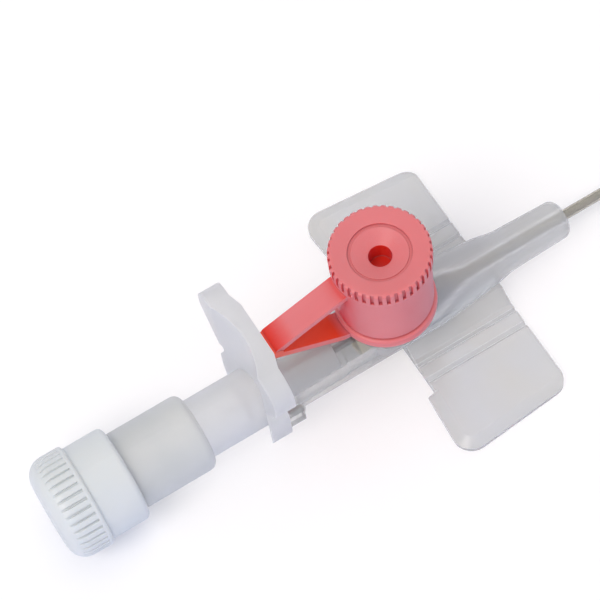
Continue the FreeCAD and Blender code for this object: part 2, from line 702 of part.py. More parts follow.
needle_hub = new_body("needle_hub")
grip_sketch = new_sketch(needle_hub, "grip_outline", "YZ", grip_rear)
disc_bottom = -size["grip_disc_radius"]
disc_side = size["grip_disc_radius"]
outline(grip_sketch, [
    (disc_side, disc_bottom, size["grip_disc_radius"] * 0.95),
    (disc_side, disc_side * 0.45, Term(1.8)),
    (size["grip_neck_half"], size["grip_neck_height"], Term(1.5)),
    (size["grip_head_half"], size["grip_head_bottom"], Term(2.6)),
    (size["grip_head_half"], size["grip_top"], size["grip_round"]),
    (-size["grip_head_half"], size["grip_top"], size["grip_round"]),
    (-size["grip_head_half"], size["grip_head_bottom"], Term(2.6)),
    (-size["grip_neck_half"], size["grip_neck_height"], Term(1.5)),
    (-disc_side, disc_side * 0.45, Term(1.8)),
    (-disc_side, disc_bottom, size["grip_disc_radius"] * 0.95),
])
grip = pushed(needle_hub, "grip_plate", grip_sketch, size["grip_thickness"])
pad_sketch = new_sketch(needle_hub, "grip_pad_section", "XY", size["grip_pad_bottom"])
pad_front = grip_front + size["grip_pad_thickness"]
outline(pad_sketch, mirrored_outline([
    (grip_front - size["grip_pad_thickness"], size["grip_pad_half"]),
    (grip_front, size["grip_pad_half"]),
    (pad_front, size["grip_pad_half"] - size["grip_pad_slope"]),
]))
pushed(needle_hub, "grip_pad", pad_sketch, size["grip_top"] - size["grip_pad_bottom"])

# The thumb hollow is a shallow arc across the rear of the grip
hollow_half = size["grip_hollow_half"]
hollow_depth = size["grip_hollow"]
hollow_radius = (hollow_half * hollow_half + hollow_depth * hollow_depth) / (hollow_depth * 2)
hollow_sketch = new_sketch(needle_hub, "hollow_section", "XY", -size["grip_disc_radius"])
hollow = hollow_sketch.addGeometry(
    Part.Circle(FreeCAD.Vector((grip_rear + hollow_depth - hollow_radius).value, 0, 0),
                FreeCAD.Vector(0, 0, 1), hollow_radius.value), False)
pin(hollow_sketch, (hollow, 3), grip_rear + hollow_depth - hollow_radius, ZERO)
bind(hollow_sketch, "Radius", (hollow,), hollow_radius)
pushed(needle_hub, "thumb_hollow", hollow_sketch,
       size["grip_disc_radius"] + size["grip_top"] + 1.0, cut=True, back=True)

cone_tip = mouth_x + size["cone_length"]
spigot_end = chamber_front - size["spigot_length"]
turned(needle_hub, "cone_and_tail", [
    (cone_tip, ZERO),
    (cone_tip, luer_radius(size["cone_length"]) - size["luer_clearance"]),
    (grip_front, luer_radius(-size["luer_gap"]) - size["luer_clearance"]),
    (grip_front - 0.2, size["tail_radius"]),
    (spigot_end, size["tail_radius"], Term(0.3)),
    (spigot_end, ZERO),
])
needle_seat = size["needle_radius"] + size["moulded_fit"]
turned(needle_hub, "hub_bore", [
    (cone_tip, ZERO),
    (cone_tip, needle_seat),
    (grip_rear, needle_seat),
    (grip_rear - size["tail_bore"] * 0.5, size["tail_bore"]),
    (spigot_end, size["tail_bore"]),
    (spigot_end, ZERO),
], cut=True)

# Flashback chamber: pressed over the tail, with a Luer neck for the plug

chamber = new_body("flashback_chamber", chamber_front)
spigot_bore = size["tail_radius"] + size["moulded_fit"]
cavity = size["chamber_radius"] - size["chamber_wall"]
chamber_rear = -(size["chamber_length"] + size["chamber_overlap"])
neck_end = chamber_rear - size["chamber_neck_length"]
socket_floor = neck_end + size["plug_cone_length"] + 0.4
cavity_rear = chamber_rear + size["chamber_wall"]
turned(chamber, "shell", [
    (ZERO, spigot_bore),
    (ZERO, size["chamber_radius"], size["chamber_round"]),
    (chamber_rear, size["chamber_radius"], Term(0.4)),
    (chamber_rear, size["chamber_neck_radius"]),
    (neck_end + size["chamber_lug_length"], size["chamber_neck_radius"]),
    (neck_end + size["chamber_lug_length"], size["chamber_lug_radius"], Term(0.2)),
    (neck_end, size["chamber_lug_radius"], Term(0.2)),
    (neck_end, size["luer_mouth_radius"]),
    (cavity_rear, luer_radius(cavity_rear - neck_end)),
    (cavity_rear, cavity),
    (-size["spigot_length"] - 0.1, cavity),
    (-size["spigot_length"] - 0.1, spigot_bore),
])

# White plug: smooth skirt, ribbed grip, vented cone

plug = new_body("vent_plug", plug_mouth)
plug_end = -size["plug_length"]
grip_start = -size["skirt_length"]
plug_floor = -(size["chamber_overlap"] + size["chamber_neck_length"]) - 0.3
cone_end = -(size["chamber_overlap"] + size["chamber_neck_length"]) + size["plug_cone_length"]
plug_cone_tip = luer_radius(size["plug_cone_length"]) - size["luer_clearance"]
plug_cone_root = luer_radius(ZERO) - size["luer_clearance"]
turned(plug, "body", [
    (ZERO, size["skirt_bore"]),
    (ZERO, size["skirt_radius"], size["skirt_round"]),
    (grip_start, size["skirt_radius"]),
    (grip_start, size["plug_grip_radius"], Term(0.35)),
    (plug_end, size["plug_grip_radius"], size["plug_end_round"]),
    (plug_end, size["vent_radius"]),
    (cone_end - size["filter_thickness"], size["vent_radius"]),
    (cone_end - size["filter_thickness"], size["filter_radius"]),
    (cone_end, size["filter_radius"]),
    (cone_end, plug_cone_tip),
    (plug_floor, plug_cone_root),
    (plug_floor, size["skirt_bore"]),
])
rib_sketch = new_sketch(plug, "rib_groove_outline", "YZ", grip_start - size["rib_margin"])
rib_half = size["rib_groove_width"] / 2
rib_floor = size["plug_grip_radius"] - size["rib_groove_depth"]
outline(rib_sketch, [
    (-rib_half * 0.5, rib_floor),
    (-rib_half, size["plug_grip_radius"] + 0.3),
    (rib_half, size["plug_grip_radius"] + 0.3),
    (rib_half * 0.5, rib_floor),
])
rib = pushed(plug, "rib_groove", rib_sketch, size["plug_length"], cut=True)
circular_pattern(plug, "rib_grooves", rib, rib_sketch, "N_Axis", size["rib_count"])

# Porous disc that lets air out of the chamber and keeps blood in

vent_filter = new_body("vent_filter", plug_mouth)
filter_outer = size["filter_radius"] - size["moulded_fit"]
turned(vent_filter, "disc", [
    (cone_end - size["filter_thickness"], ZERO),
    (cone_end - size["filter_thickness"], filter_outer),
    (cone_end, filter_outer, Term(0.1)),
    (cone_end, ZERO),
])

# Checks and export

doc.recompute()
bodies = [o for o in doc.Objects if o.TypeId == "PartDesign::Body"]
for item in doc.Objects:
    if "Invalid" in item.State or "Error" in item.State:
        raise RuntimeError("{} failed: {}".format(item.Name, item.State))
for body in bodies:
    if body.Shape.isNull() or not body.Shape.isValid() or len(body.Shape.Solids) != 1:
        raise RuntimeError("{} is not one valid solid".format(body.Label))
os.makedirs("parts", exist_ok=True)
for body in bodies:
    body.Shape.exportStep("parts/{}.step".format(body.Label))
    print("{:20s} {:9.3f} mm3".format(body.Label, body.Shape.Volume))
print("hinge", (port_x + hinge_x).value, (size["axis_height"] + hinge_z).value)
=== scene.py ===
"""Looks of a winged intravenous cannula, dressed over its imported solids.

The solids hold every rigid shape. This script gives each of them the finish of the real
moulding, tube or drawn steel, and sets the studio and the camera.
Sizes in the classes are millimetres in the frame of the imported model, whose origin lies on the
underside of the wings: +X runs towards the needle tip, +Y across the wings, +Z up to the port.
"""

from __future__ import annotations

import logging
import math
from dataclasses import dataclass, replace
from enum import Enum

import bpy
import numpy as np
from mathutils import Matrix


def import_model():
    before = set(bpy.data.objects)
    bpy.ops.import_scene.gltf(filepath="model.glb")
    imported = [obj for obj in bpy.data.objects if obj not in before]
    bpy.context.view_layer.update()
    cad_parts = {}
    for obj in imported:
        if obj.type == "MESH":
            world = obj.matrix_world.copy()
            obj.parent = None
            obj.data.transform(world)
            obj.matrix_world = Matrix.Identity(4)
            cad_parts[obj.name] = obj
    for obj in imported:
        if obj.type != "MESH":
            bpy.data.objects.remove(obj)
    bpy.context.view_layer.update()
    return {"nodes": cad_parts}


LOG = logging.getLogger("cannula")
MM = 0.001
Socket = bpy.types.NodeSocket
Tree = bpy.types.NodeTree
# The colour sockets of a Mix node, whose names repeat for each kind of data
SHARE, FIRST, SECOND, MIXED = 0, 6, 7, 2


# Colours, nodes and materials


def linear(code: str, alpha: float = 1.0) -> tuple[float, float, float, float]:
    """Turns an sRGB colour into linear light.

    Args:
        code: The colour as six hex digits after a hash sign.
        alpha: The fourth channel, which is kept as it is.

    Returns:
        Red, green, blue and alpha for a shader socket.
    """
    parts = [int(code[i : i + 2], 16) / 255 for i in (1, 3, 5)]
    lit = [c / 12.92 if c <= 0.04045 else ((c + 0.055) / 1.055) ** 2.4 for c in parts]
    return (lit[0], lit[1], lit[2], alpha)


def add_node(
    tree: Tree,
    kind: str,
    inputs: dict[str | int, object] | None = None,
    **settings: object,
) -> bpy.types.Node:
    """Adds one node with its settings, values and links.

    Args:
        tree: The node tree that takes the node.
        kind: The node's type name.
        inputs: Socket name or number to a plain value, or to the output socket it is linked to.
        **settings: Attributes of the node itself.

    Returns:
        The new node.
    """
    node = tree.nodes.new(kind)
    for name, value in settings.items():
        setattr(node, name, value)
    for key, value in (inputs or {}).items():
        if isinstance(value, bpy.types.NodeSocket):
            tree.links.new(value, node.inputs[key])
        else:
            node.inputs[key].default_value = value
    return node


def empty_material(name: str) -> tuple[bpy.types.Material, Tree]:
    """Makes a material whose node tree is bare.

    Args:
        name: The material's name.

    Returns:
        The material and its node tree.
    """
    material = bpy.data.materials.new(name)
    material.use_nodes = True
    material.node_tree.nodes.clear()
    return material, material.node_tree


def dress(piece: bpy.types.Object, material: bpy.types.Material) -> None:
    """Gives every slot of a piece the same material.

    Args:
        piece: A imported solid, or the floor.
        material: What it is made of.
    """
    if not piece.material_slots:
        piece.data.materials.append(material)
    for place in piece.material_slots:
        place.material = material


# Finishes


class Grain(Enum):
    """How a mould's face or a forming process leaves the skin of a piece."""

    ERODED = "spark eroded, an even fine matt"
    POLISHED = "polished, only a slow waviness"
    DRAWN = "drawn, fine lines along the axis"
    SINTERED = "sintered, open pores"


@dataclass(frozen=True)
class Edge:
    """The small rounding of a moulded edge, seen as a highlight; on clear walls it also carries a
    painted white highlight and a clouding.

    Attributes:
        radius_mm: The rounding.
        light: Share of the painted white highlight laid on the edge of a clear wall, where light
            leaves it.
        white: The sRGB colour of the painted highlight.
        milk: Transmission that the wall loses where the painted highlight is full.
        likeness: Likeness of the rounded to the flat normal where the edge starts and is full.
        samples: Rays that look for the faces beside a point.
    """

    radius_mm: float
    light: float = 0.0
    white: str = "#FBFCFD"
    milk: float = 0.7
    likeness: tuple[float, float] = (0.97, 0.8)
    samples: int = 12

    def normal(self, tree: Tree) -> Socket:
        """Adds the normal of the rounded edge to a material's tree and returns it."""
        radius = self.radius_mm * MM
        return add_node(
            tree, "ShaderNodeBevel", {"Radius": radius}, samples=self.samples
        ).outputs["Normal"]

    def lit(
        self, tree: Tree, normal: Socket, colour: Socket, clearness: Socket | float
    ) -> tuple[Socket, Socket]:
        """Paints a white highlight on a clear wall where its edge turns, and clouds the wall there.

        Args:
            tree: The material's node tree.
            normal: The normal of the rounded edge.
            colour: The wall's colour.
            clearness: The share of light that the wall lets through.

        Returns:
            Colour and clearness with the painted highlight and the clouding laid over them.
        """
        flat = add_node(tree, "ShaderNodeNewGeometry").outputs["True Normal"]
        likeness = add_node(
            tree, "ShaderNodeVectorMath", {0: normal, 1: flat}, operation="DOT_PRODUCT"
        ).outputs["Value"]
        start, full = self.likeness
        edge = add_node(
            tree,
            "ShaderNodeMapRange",
            {"Value": likeness, "From Min": start, "From Max": full, "To Max": self.light},
        ).outputs["Result"]
        # Painted highlight: the colour is mixed towards white where the edge turns
        painted_highlight = add_node(
            tree,
            "ShaderNodeMix",
            {SHARE: edge, FIRST: colour, SECOND: linear(self.white)},
            data_type="RGBA",
        ).outputs[MIXED]
        clouded = add_node(
            tree, "ShaderNodeMath", {0: edge, 1: -self.milk, 2: clearness}, operation="MULTIPLY_ADD"
        ).outputs[0]
        return painted_highlight, clouded


@dataclass(frozen=True)
class Frost:
    """A stretch along X where the mould is eroded more, so the wall is duller and milkier.

    Attributes:
        roughness: Roughness that the skin gains there.
        milk: Transmission that the wall loses there.
        start_mm: Where along X it starts.
        full_mm: Where it is full; it stays so from there on.
    """

    roughness: float
    milk: float
    start_mm: float
    full_mm: float

    def laid(
        self, tree: Tree, place: Socket, rough: Socket, clearness: float
    ) -> tuple[Socket, Socket]:
        """Lays the frost over a skin.

        Args:
            tree: The material's node tree.
            place: Object coordinates.
            rough: The skin's roughness without it.
            clearness: The wall's transmission without it.

        Returns:
            Roughness and transmission with it.
        """
        along = add_node(tree, "ShaderNodeSeparateXYZ", {"Vector": place}).outputs["X"]
        gain = add_node(
            tree,
            "ShaderNodeMapRange",
            {"Value": along, "From Min": self.start_mm * MM, "From Max": self.full_mm * MM},
            interpolation_type="SMOOTHSTEP",
        ).outputs["Result"]
        duller = add_node(
            tree, "ShaderNodeMath", {0: gain, 1: self.roughness, 2: rough}, operation="MULTIPLY_ADD"
        ).outputs[0]
        milkier = add_node(
            tree, "ShaderNodeMath", {0: gain, 1: -self.milk, 2: clearness}, operation="MULTIPLY_ADD"
        ).outputs[0]
        return duller, milkier


@dataclass(frozen=True)
class Recess:
    """Painted shade in narrow recesses and painted bounce light in wide hollows of a dense pigment.

    Attributes:
        painted_shade: Dusky sRGB colour painted into narrow recesses as the shade there.
        painted_bounce: Deeper sRGB colour painted into wide hollows as the light that goes from
            wall to wall.
        dusk_mm: How far a narrow recess reaches.
        dusk_open: Shares of open sky at which the painted shade starts and is full.
        dusk_most: Share of the painted shade colour where it is full.
        deep_mm: How far a wide hollow reaches.
        deep_closed: Shares of closed sky at which the painted bounce colour starts and is full.
        deep_end_mm: Where along X the painted bounce colour has ended, if it ends.
        deep_fade_mm: The stretch before that end in which it fades.
        samples: Rays that look for the walls round a point.
    """

    painted_shade: str
    painted_bounce: str
    dusk_mm: float = 0.35
    dusk_open: tuple[float, float] = (0.8, 0.2)
    dusk_most: float = 0.85
    deep_mm: float = 4.0
    deep_closed: tuple[float, float] = (0.12, 0.42)
    deep_end_mm: float | None = None
    deep_fade_mm: float = 1.0
    samples: int = 8

    def laid(self, tree: Tree, place: Socket, colour: Socket) -> Socket:
        """Paints a deeper bounce colour into wide hollows and a dusky shade into narrow recesses.

        Args:
            tree: The material's node tree.
            place: Object coordinates.
            colour: The colour of the open skin.

        Returns:
            The colour with both laid over it.
        """
        near, far = (
            add_node(
                tree, "ShaderNodeAmbientOcclusion", {"Distance": reach * MM}, samples=self.samples
            ).outputs["AO"]
            for reach in (self.dusk_mm, self.deep_mm)
        )
        painted_bounce = self.depth(tree, place, near, far)
        start, full = self.dusk_open
        painted_shade = add_node(
            tree,
            "ShaderNodeMapRange",
            {"Value": near, "From Min": start, "From Max": full, "To Max": self.dusk_most},
        ).outputs["Result"]
        # Painted bounce colour in wide hollows, then painted shade in narrow recesses
        for share, layer in ((painted_bounce, self.painted_bounce), (painted_shade, self.painted_shade)):
            colour = add_node(
                tree,
                "ShaderNodeMix",
                {SHARE: share, FIRST: colour, SECOND: linear(layer)},
                data_type="RGBA",
            ).outputs[MIXED]
        return colour

    def depth(self, tree: Tree, place: Socket, near: Socket, far: Socket) -> Socket:
        """Finds wide hollows: what the near walls leave open and the far ones close.

        Args:
            tree: The material's node tree.
            place: Object coordinates.
            near: Share of sky that walls within the narrow reach leave open.
            far: Share of sky that walls within the wide reach leave open.

        Returns:
            The share of the painted bounce colour, 0 to 1.
        """
        closed = add_node(
            tree, "ShaderNodeMath", {0: near, 1: far}, operation="SUBTRACT"
        ).outputs[0]
        start, full = self.deep_closed
        painted_bounce = add_node(
            tree, "ShaderNodeMapRange", {"Value": closed, "From Min": start, "From Max": full}
        ).outputs["Result"]
        if self.deep_end_mm is None:
            return painted_bounce
        along = add_node(tree, "ShaderNodeSeparateXYZ", {"Vector": place}).outputs["X"]
        end = self.deep_end_mm * MM
        fade = self.deep_fade_mm * MM
        inside = add_node(
            tree, "ShaderNodeMapRange", {"Value": along, "From Min": end, "From Max": end - fade}
        ).outputs["Result"]
        return add_node(
            tree, "ShaderNodeMath", {0: painted_bounce, 1: inside}, operation="MULTIPLY"
        ).outputs[0]


@dataclass(frozen=True)
class Bloom:
    """The waxy veil that a plastic's skin has at a flat angle.

    Attributes:
        strength: How much of it shows.
        roughness: How far it spreads from the outline.
        tint: Its sRGB colour.
    """

    strength: float = 0.0
    roughness: float = 0.35
    tint: str = "#B4C2FF"


@dataclass(frozen=True)
class Finish:
    """A material as it left its process, and how light meets it.

    Attributes:
        name: Common name and process.
        colour: Main sRGB colour.
        shade: Second sRGB colour, which slow flow marks blend in.
        roughness: Mean roughness of the skin.
        ior: Index of refraction.
        transmission: Share of the light that passes instead of scattering at the surface.
        subsurface: Share of the scattered light that travels inside first.
        depth_mm: How far it travels, for red, green and blue.
        metallic: 1 for a metal.
        grain: The kind of skin.
        grain_mm: Size of the grain. A real eroded or drawn skin has one of a few hundredths of a
            millimetre, too fine to show, so it is drawn about five times as coarse.
        grain_height: Height of the grain, in millimetres.
        grain_harshness: How strong the finer parts of the grain are.
        squeeze: How much a drawn skin's pattern is stretched along the axis, as a share.
        uneven: How far the grain takes the roughness below and above its mean.
        flow_mm: Size of the flow marks.
        flow_detail: How many finer layers the flow marks have.
        flow_harshness: How strong those layers are.
        edge: The rounding of its edges, if it shows, with the painted highlight of clear walls.
        recess: The painted shade of its recesses and painted bounce light of its hollows, if it has
            them.
        frost: The stretch that is milkier, if there is one.
        bloom: The veil at a flat angle.
        lets_light: Share of lamp and bounced light that a wall lets straight through.
    """

    name: str
    colour: str
    shade: str
    roughness: float
    ior: float = 1.5
    transmission: float = 0.0
    subsurface: float = 0.0
    depth_mm: tuple[float, float, float] = (1.0, 1.0, 1.0)
    metallic: float = 0.0
    grain: Grain = Grain.ERODED
    grain_mm: float = 0.12
    grain_height: float = 0.004
    grain_harshness: float = 0.6
    squeeze: float = 0.02
    uneven: tuple[float, float] = (-0.04, 0.05)
    flow_mm: float = 4.0
    flow_detail: float = 2.0
    flow_harshness: float = 0.45
    edge: Edge | None = None
    recess: Recess | None = None
    frost: Frost | None = None
    bloom: Bloom = Bloom()
    lets_light: float = 0.0

    def material(self) -> bpy.types.Material:
        """Builds the finish as a node material on Object coordinates.

        Returns:
            The material, ready for a solid.
        """
        material, tree = empty_material(self.name)
        place = add_node(tree, "ShaderNodeTexCoord").outputs["Object"]
        colour = self.pigment(tree, place)
        skin = self.skin(tree, place)
        least, most = (self.roughness + step for step in self.uneven)
        rough = add_node(
            tree, "ShaderNodeMapRange", {"Value": skin, "To Min": least, "To Max": most}
        ).outputs["Result"]
        clearness: Socket | float = self.transmission
        if self.frost:
            rough, clearness = self.frost.laid(tree, place, rough, self.transmission)
        relief: dict[str | int, object] = {"Height": skin, "Distance": self.grain_height * MM}
        if self.edge:
            relief["Normal"] = self.edge.normal(tree)
        # Painted white highlight and clouding on the edges of clear walls
        if self.edge and self.edge.light > 0:
            colour, clearness = self.edge.lit(tree, relief["Normal"], colour, clearness)
        bump = add_node(tree, "ShaderNodeBump", {**relief, "Strength": 1.0}).outputs["Normal"]
        shader = add_node(
            tree,
            "ShaderNodeBsdfPrincipled",
            {
                "Base Color": colour,
                "Roughness": rough,
                "Normal": bump,
                "IOR": self.ior,
                "Metallic": self.metallic,
                "Transmission Weight": clearness,
                "Subsurface Weight": self.subsurface,
                "Subsurface Radius": self.depth_mm,
                "Subsurface Scale": MM,
                "Sheen Weight": self.bloom.strength,
                "Sheen Roughness": self.bloom.roughness,
                "Sheen Tint": linear(self.bloom.tint),
            },
        ).outputs["BSDF"]
        if self.lets_light > 0:
            shader = self.opened(tree, shader)
        add_node(tree, "ShaderNodeOutputMaterial", {"Surface": shader})
        return material

    def pigment(self, tree: Tree, place: Socket) -> Socket:
        """Adds the colour of the bulk, with its flow marks and recesses.

        Args:
            tree: The material's node tree.
            place: Object coordinates.

        Returns:
            The colour.
        """
        flow = add_node(
            tree,
            "ShaderNodeTexNoise",
            {
                "Vector": place,
                "Scale": 1 / (self.flow_mm * MM),
                "Detail": self.flow_detail,
                "Roughness": self.flow_harshness,
            },
        ).outputs["Fac"]
        colour = add_node(
            tree,
            "ShaderNodeMix",
            {SHARE: flow, FIRST: linear(self.colour), SECOND: linear(self.shade)},
            data_type="RGBA",
        ).outputs[MIXED]
        return self.recess.laid(tree, place, colour) if self.recess else colour

    def skin(self, tree: Tree, place: Socket) -> Socket:
        """Adds the pattern that the process leaves on the skin.

        Args:
            tree: The material's node tree.
            place: Object coordinates.

        Returns:
            The height of the skin, 0 to 1.
        """
        scale = 1 / (self.grain_mm * MM)
        if self.grain is Grain.DRAWN:
            place = add_node(
                tree, "ShaderNodeMapping", {"Vector": place, "Scale": (self.squeeze, 1.0, 1.0)}
            ).outputs["Vector"]
        if self.grain is Grain.SINTERED:
            return add_node(
                tree, "ShaderNodeTexVoronoi", {"Vector": place, "Scale": scale}
            ).outputs["Distance"]
        detail = 1.0 if self.grain is Grain.POLISHED else 4.0
        return add_node(
            tree,
            "ShaderNodeTexNoise",
            {
                "Vector": place,
                "Scale": scale,
                "Detail": detail,
                "Roughness": self.grain_harshness,
            },
        ).outputs["Fac"]

    def opened(self, tree: Tree, shader: Socket) -> Socket:
        """Lets light that no eye sees go straight in, because refraction keeps lamps out.

        Args:
            tree: The material's node tree.
            shader: The wall as the eye sees it.

        Returns:
            The wall with its share for shadow rays and bounced light.
        """
        rays = add_node(tree, "ShaderNodeLightPath").outputs
        hidden = add_node(
            tree,
            "ShaderNodeMath",
            {0: rays["Is Shadow Ray"], 1: rays["Is Diffuse Ray"]},
            operation="MAXIMUM",
        ).outputs[0]
        share = add_node(
            tree, "ShaderNodeMath", {0: hidden, 1: self.lets_light}, operation="MULTIPLY"
        ).outputs[0]
        clear = add_node(tree, "ShaderNodeBsdfTransparent", {"Color": linear("#FFFFFF")})
        return add_node(
            tree, "ShaderNodeMixShader", {"Fac": share, 1: shader, 2: clear.outputs["BSDF"]}
        ).outputs[0]


# Polypropylene in a finely eroded mould: milky, so grip and tail glow softly and hide the steel
FROSTED_POLYPROPYLENE = Finish(
    name="polypropylene_moulded_frosted",
    colour="#E4E5E6",
    shade="#DCDEE0",
    roughness=0.34,
    ior=1.49,
    transmission=0.4,
    subsurface=0.5,
    depth_mm=(2.0, 2.0, 2.1),
    grain_mm=0.25,
    grain_height=0.003,
    flow_mm=5.0,
    # Its edges carry a painted white highlight
    edge=Edge(radius_mm=0.1, light=0.35),
    lets_light=0.85,
)

# The same resin with a smoother skin: clear enough round the socket for the cone inside to show
# through, milkier from the port forwards
CLEAR_POLYPROPYLENE = Finish(
    name="polypropylene_moulded_clear",
    colour="#DBDFE6",
    shade="#DCDBD4",
    roughness=0.12,
    ior=1.49,
    transmission=0.91,
    subsurface=0.3,
    depth_mm=(2.0, 2.0, 2.1),
    grain_mm=0.3,
    grain_height=0.002,
    flow_mm=6.0,
    # Its edges carry a painted white highlight
    edge=Edge(radius_mm=0.18, light=0.35),
    frost=Frost(roughness=0.06, milk=0.17, start_mm=-12.0, full_mm=-7.5),
    lets_light=0.85,
)

# The same resin round a hollow: cloudy, with a soft grey depth behind its wall
CHAMBER_POLYPROPYLENE = Finish(
    name="polypropylene_moulded_chamber",
    colour="#E1E2E1",
    shade="#CFD3D3",
    roughness=0.35,
    ior=1.49,
    transmission=0.42,
    subsurface=0.5,
    depth_mm=(2.0, 2.0, 2.1),
    grain_mm=0.3,
    grain_height=0.002,
    flow_mm=4.5,
    lets_light=0.95,
)

# Fluoropolymer drawn to a thin tube: waxy and clear enough for the steel to show grey
EXTRUDED_FLUOROPOLYMER = Finish(
    name="fluoropolymer_extruded",
    colour="#DEDBD1",
    shade="#D5D2C9",
    roughness=0.16,
    ior=1.34,
    transmission=0.72,
    grain=Grain.DRAWN,
    grain_mm=0.2,
    grain_height=0.001,
    flow_mm=3.0,
)

# Stainless steel drawn over a mandrel and ground at the point: mid grey with fine long lines
DRAWN_STEEL = Finish(
    name="stainless_steel_drawn",
    colour="#A4A6A8",
    shade="#8F9295",
    roughness=0.19,
    metallic=1.0,
    grain=Grain.DRAWN,
    grain_height=0.001,
    flow_mm=2.0,
)

# Stainless steel pressed into a funnel: duller, with a slow waviness from the tool
PRESSED_STEEL = Finish(
    name="stainless_steel_pressed",
    colour="#A9ABAE",
    shade="#94979B",
    roughness=0.32,
    metallic=1.0,
    grain=Grain.POLISHED,
    grain_mm=0.6,
    grain_height=0.002,
    flow_mm=1.5,
)

# Silicone rubber, cured: dull, faintly yellow and cloudy
CURED_SILICONE = Finish(
    name="silicone_rubber_cured",
    colour="#CFC6A4",
    shade="#C2B892",
    roughness=0.55,
    ior=1.41,
    transmission=0.15,
    subsurface=0.5,
    depth_mm=(0.8, 0.7, 0.5),
    grain=Grain.POLISHED,
    grain_mm=0.8,
)

# Polyethylene with a pink masterbatch: soft, dense colour with a satin skin and a cool bloom,
# with painted red bounce light wherever pink faces pink and painted shade in narrow recesses
PINK_POLYETHYLENE = Finish(
    name="polyethylene_moulded_pink",
    colour="#DF7B7F",
    shade="#D97377",
    roughness=0.38,
    ior=1.51,
    subsurface=0.35,
    depth_mm=(0.9, 0.25, 0.2),
    grain_mm=0.22,
    grain_height=0.003,
    flow_mm=3.5,
    edge=Edge(radius_mm=0.1),
    # Painted shade in narrow recesses and painted red bounce light in wide hollows
    recess=Recess(painted_shade="#AC3640", painted_bounce="#E0260F"),
    bloom=Bloom(strength=0.15),
)

# Natural polyethylene: off-white, waxy and nearly opaque
WHITE_POLYETHYLENE = Finish(
    name="polyethylene_moulded_white",
    colour="#DDE1E3",
    shade="#D5DBDE",
    roughness=0.42,
    ior=1.51,
    subsurface=0.5,
    depth_mm=(1.0, 0.9, 0.8),
    grain_mm=0.25,
    grain_height=0.003,
    edge=Edge(radius_mm=0.06),
)

# Polyethylene powder sintered to a filter: chalky, with open pores
SINTERED_POLYETHYLENE = Finish(
    name="polyethylene_sintered_filter",
    colour="#ECEDEC",
    shade="#DFE0DE",
    roughness=0.9,
    subsurface=0.3,
    depth_mm=(0.4, 0.4, 0.4),
    grain=Grain.SINTERED,
    grain_mm=0.18,
    grain_height=0.05,
)


# Sub-assemblies


@dataclass
class Unit:
    """A sub-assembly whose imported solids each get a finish.

    Attributes:
        nodes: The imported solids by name.
    """

    nodes: dict[str, bpy.types.Object]

    def finishes(self) -> dict[str, Finish]:
        """Gives the finish of each of its solids by name; each kind of unit has its own."""
        raise NotImplementedError

    def build(self) -> None:
        """Dresses the solids and reports them."""
        for name, finish in self.finishes().items():
            dress(self.nodes[name], finish.material())
            LOG.info("%s: %s in %s", type(self).__name__, name, finish.name)


@dataclass
class CatheterUnit(Unit):
    """The winged hub with its catheter, the steel bush that wedges it and the silicone sleeve."""

    plastic: Finish = CLEAR_POLYPROPYLENE
    tube: Finish = EXTRUDED_FLUOROPOLYMER
    bush: Finish = PRESSED_STEEL
    sleeve: Finish = CURED_SILICONE

    def finishes(self) -> dict[str, Finish]:
        """Gives the finishes of hub, catheter, bush and sleeve."""
        return {
            "catheter_hub": self.plastic,
            "catheter": self.tube,
            "catheter_bush": self.bush,
            "port_valve": self.sleeve,
        }


@dataclass
class PortClosure(Unit):
    """The pink cap over the injection port, with its strap and the ring that holds it.

    Between the strap's legs light goes from pink to pink; this bounce light is painted on the
    lower leg as an orange-red up to the ring.

    Attributes:
        plastic: The finish of the one moulding that cap, strap and ring are.
        leg_painted_bounce: The orange-red sRGB colour of the bounce light painted on the lower leg.
        leg_reach: How far the space between the legs reaches.
        leg_closed: Shares of closed sky at which that colour starts and is full.
        leg_end: Where along X the leg meets the ring.
    """

    plastic: Finish = PINK_POLYETHYLENE
    leg_painted_bounce: str = "#EC5030"
    leg_reach: float = 6.0
    leg_closed: tuple[float, float] = (0.04, 0.26)
    leg_end: float = -11.2

    def finishes(self) -> dict[str, Finish]:
        """Gives the finishes of the cap and of the ring with the lower leg."""
        # A copy of the pink whose wide hollow has the orange-red painted bounce light
        recess = replace(
            self.plastic.recess,
            painted_bounce=self.leg_painted_bounce,
            deep_mm=self.leg_reach,
            deep_closed=self.leg_closed,
            deep_end_mm=self.leg_end,
        )
        lower = replace(self.plastic, name=self.plastic.name + "_lower_leg_painted_bounce", recess=recess)
        return {"port_cap": self.plastic, "port_collar": lower}


@dataclass
class NeedleUnit(Unit):
    """The needle in its hub with the finger grip, and the flashback chamber behind."""

    steel: Finish = DRAWN_STEEL
    plastic: Finish = FROSTED_POLYPROPYLENE
    chamber: Finish = CHAMBER_POLYPROPYLENE

    def finishes(self) -> dict[str, Finish]:
        """Gives the finishes of needle, needle hub and chamber."""
        return {
            "needle": self.steel,
            "needle_hub": self.plastic,
            "flashback_chamber": self.chamber,
        }


@dataclass
class VentPlug(Unit):
    """The ribbed plug that closes the chamber, with the filter that lets air out."""

    plastic: Finish = WHITE_POLYETHYLENE
    filter: Finish = SINTERED_POLYETHYLENE

    def finishes(self) -> dict[str, Finish]:
        """Gives the finishes of plug and filter."""
        return {"vent_plug": self.plastic, "vent_filter": self.filter}


# Studio


